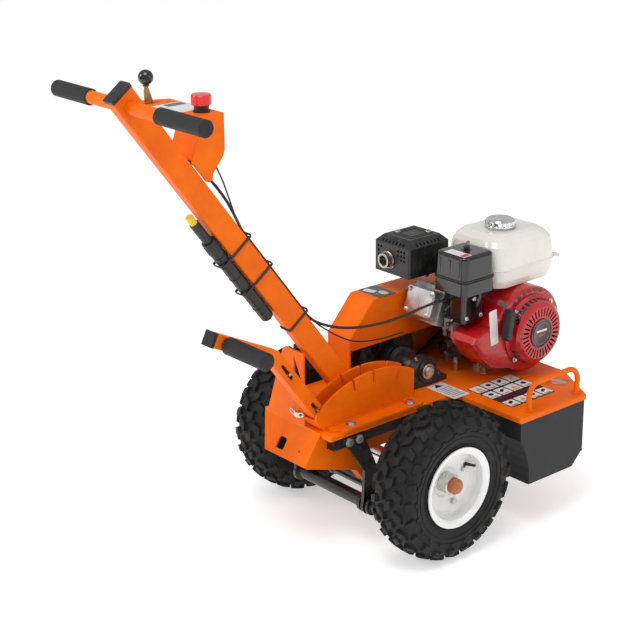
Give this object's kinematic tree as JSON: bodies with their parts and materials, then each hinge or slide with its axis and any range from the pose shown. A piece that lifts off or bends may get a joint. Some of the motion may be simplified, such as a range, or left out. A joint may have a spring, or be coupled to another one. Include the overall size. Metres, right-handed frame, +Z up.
{
  "type": "stump grinder",
  "caption": "Walk-behind petrol stump grinder: orange deck on two knobby tyres, small engine driving a toothed cutter wheel by belts, tall T handle with lift lever.",
  "frame": {"origin": "centre of the part's box in plan, on the ground", "axes": "+Z up, +X forward from the handle to the cutter, +Y to the operator's left"},
  "size_m": [1.1236, 0.574, 1.0586],
  "materials": {
    "black_paint": "satin powder coat",
    "orange_paint": "glossy powder coat",
    "black_plastic": "moulded, satin",
    "rubber": "matt moulded rubber",
    "cable_jacket": "smooth black jacket",
    "belt_rubber": "wrapped V-belt",
    "tyre": "knobby tread",
    "white_rim": "gloss white paint",
    "hub_paint": "paint over zinc",
    "zinc_steel": "zinc plated",
    "pulley_iron": "machined grooves",
    "bearing_black": "black enamel",
    "cutter_steel": "ground plate",
    "carbide_teeth": "forged, ground tips",
    "engine_cast": "as cast",
    "red_paint": "gloss enamel",
    "tank_ivory": "gloss enamel",
    "muffler_black": "heat proof satin",
    "muffler_steel": "heat tinted",
    "gloss_black": "moulded, gloss",
    "cap_yellow": "moulded",
    "estop_red": "moulded",
    "chrome": "polished"
  },
  "bodies": {
    "frame": {"deck_plate": "orange_paint", "chassis_rails": "black_paint", "pivot_shaft": "zinc_steel", "rear_panel": "orange_paint", "quadrant_plates": "orange_paint", "handle_beam": "orange_paint", "beam_end_cap": "black_plastic", "handlebar": "orange_paint", "handlebar_grips": "rubber", "console": "orange_paint", "estop_base": "black_plastic", "manual_canister": "black_plastic", "cable_straps": "black_plastic", "throttle_cable": "cable_jacket", "stop_wire": "cable_jacket", "rubber_skirts": "rubber", "lifting_handle": "orange_paint", "belt_cover": "orange_paint", "drive_belt": "belt_rubber", "cutter_belt": "belt_rubber", "bearing_housings": "bearing_black", "cutter_hangers": "orange_paint", "engine_block": "engine_cast", "valve_cover": "engine_cast", "fan_housing": "red_paint", "recoil_cover": "red_paint", "fuel_tank": "tank_ivory", "muffler_guard": "muffler_black", "muffler": "muffler_steel", "air_cleaner": "gloss_black", "carburettor": "engine_cast", "fasteners": "zinc_steel"},
    "carriage": {"crank_arms": "black_paint", "axle": "zinc_steel", "lift_lever": "orange_paint", "lever_grip": "rubber"},
    "latch": {"latch_rod": "zinc_steel"},
    "wheel_right": {"tyre_right": "tyre", "rim_right": "white_rim", "hub_right": "hub_paint"},
    "wheel_left": {"tyre_left": "tyre", "rim_left": "white_rim", "hub_left": "hub_paint"},
    "throttle": {"throttle_lever": "zinc_steel", "throttle_knob": "gloss_black"},
    "estop": {"estop_button": "estop_red"},
    "canister_lid": {"canister_cap": "cap_yellow"},
    "jackshaft_assembly": {"jackshaft": "zinc_steel", "jackshaft_pulleys": "pulley_iron"},
    "cutter": {"cutter_shaft": "zinc_steel", "cutter_wheel": "cutter_steel", "cutter_teeth": "carbide_teeth", "cutter_sheave": "pulley_iron"},
    "crank": {"crankshaft": "zinc_steel", "engine_pulley": "pulley_iron"},
    "starter": {"starter_grip": "black_plastic"},
    "tank_cap": {"fuel_cap": "chrome"},
    "choke": {"choke_lever": "black_plastic"},
    "fuel_valve": {"fuel_valve_lever": "zinc_steel"}
  },
  "joints": [
    {"name": "carriage_lift", "type": "hinge", "parent": "frame", "child": "carriage", "pos_m": [0.03655, -0.033, 0.114], "axis": [0, 1, 0], "range_deg": [0, 52.1]},
    {"name": "wheel_right_spin", "type": "hinge", "parent": "carriage", "child": "wheel_right", "pos_m": [0.06855, -0.229, 0.17], "axis": [0, 1, 0], "continuous": true},
    {"name": "wheel_left_spin", "type": "hinge", "parent": "carriage", "child": "wheel_left", "pos_m": [0.06855, 0.229, 0.17], "axis": [0, 1, 0], "continuous": true},
    {"name": "latch_slide", "type": "slide", "parent": "carriage", "child": "latch", "axis": [-0.5953, 0, 0.8035], "range_m": [0, 0.012], "stiffness_N_per_m": 400, "springref_m": -0.004},
    {"name": "throttle_turn", "type": "hinge", "parent": "frame", "child": "throttle", "pos_m": [-0.36545, 0.153, 0.954], "axis": [0, 1, 0], "range_deg": [-25, 25]},
    {"name": "estop_press", "type": "slide", "parent": "frame", "child": "estop", "axis": [0, 0, -1], "range_m": [0, 0.005], "stiffness_N_per_m": 2000, "springref_m": -0.0005},
    {"name": "canister_lid_pull", "type": "slide", "parent": "frame", "child": "canister_lid", "axis": [-0.602, 0, 0.7985], "range_m": [0, 0.04]},
    {"name": "cutter_spin", "type": "hinge", "parent": "frame", "child": "cutter", "pos_m": [0.38355, 0, 0.13], "axis": [0, 1, 0], "continuous": true},
    {"name": "jackshaft_spin", "type": "hinge", "parent": "frame", "child": "jackshaft_assembly", "pos_m": [0.22455, 0, 0.313], "axis": [0, 1, 0], "continuous": true},
    {"name": "crank_spin", "type": "hinge", "parent": "frame", "child": "crank", "pos_m": [0.45055, 0, 0.383], "axis": [0, 1, 0], "continuous": true},
    {"name": "starter_pull", "type": "slide", "parent": "frame", "child": "starter", "axis": [-1, 0, 0], "range_m": [0, 0.1]},
    {"name": "fuel_cap_turn", "type": "hinge", "parent": "frame", "child": "tank_cap", "pos_m": [0.45155, -0.015, 0.6], "axis": [0, 0, 1], "range_deg": [0, 90]},
    {"name": "choke_turn", "type": "hinge", "parent": "frame", "child": "choke", "pos_m": [0.27355, -0.034, 0.416], "axis": [1, 0, 0], "range_deg": [0, 45]},
    {"name": "fuel_valve_turn", "type": "hinge", "parent": "frame", "child": "fuel_valve", "pos_m": [0.27355, -0.024, 0.404], "axis": [1, 0, 0], "range_deg": [-80, 0]}
  ],
  "couplings": [
    {"joint": "jackshaft_spin", "follows": "cutter_spin", "ratio": 1},
    {"joint": "crank_spin", "follows": "cutter_spin", "ratio": 2.1067}
  ]
}
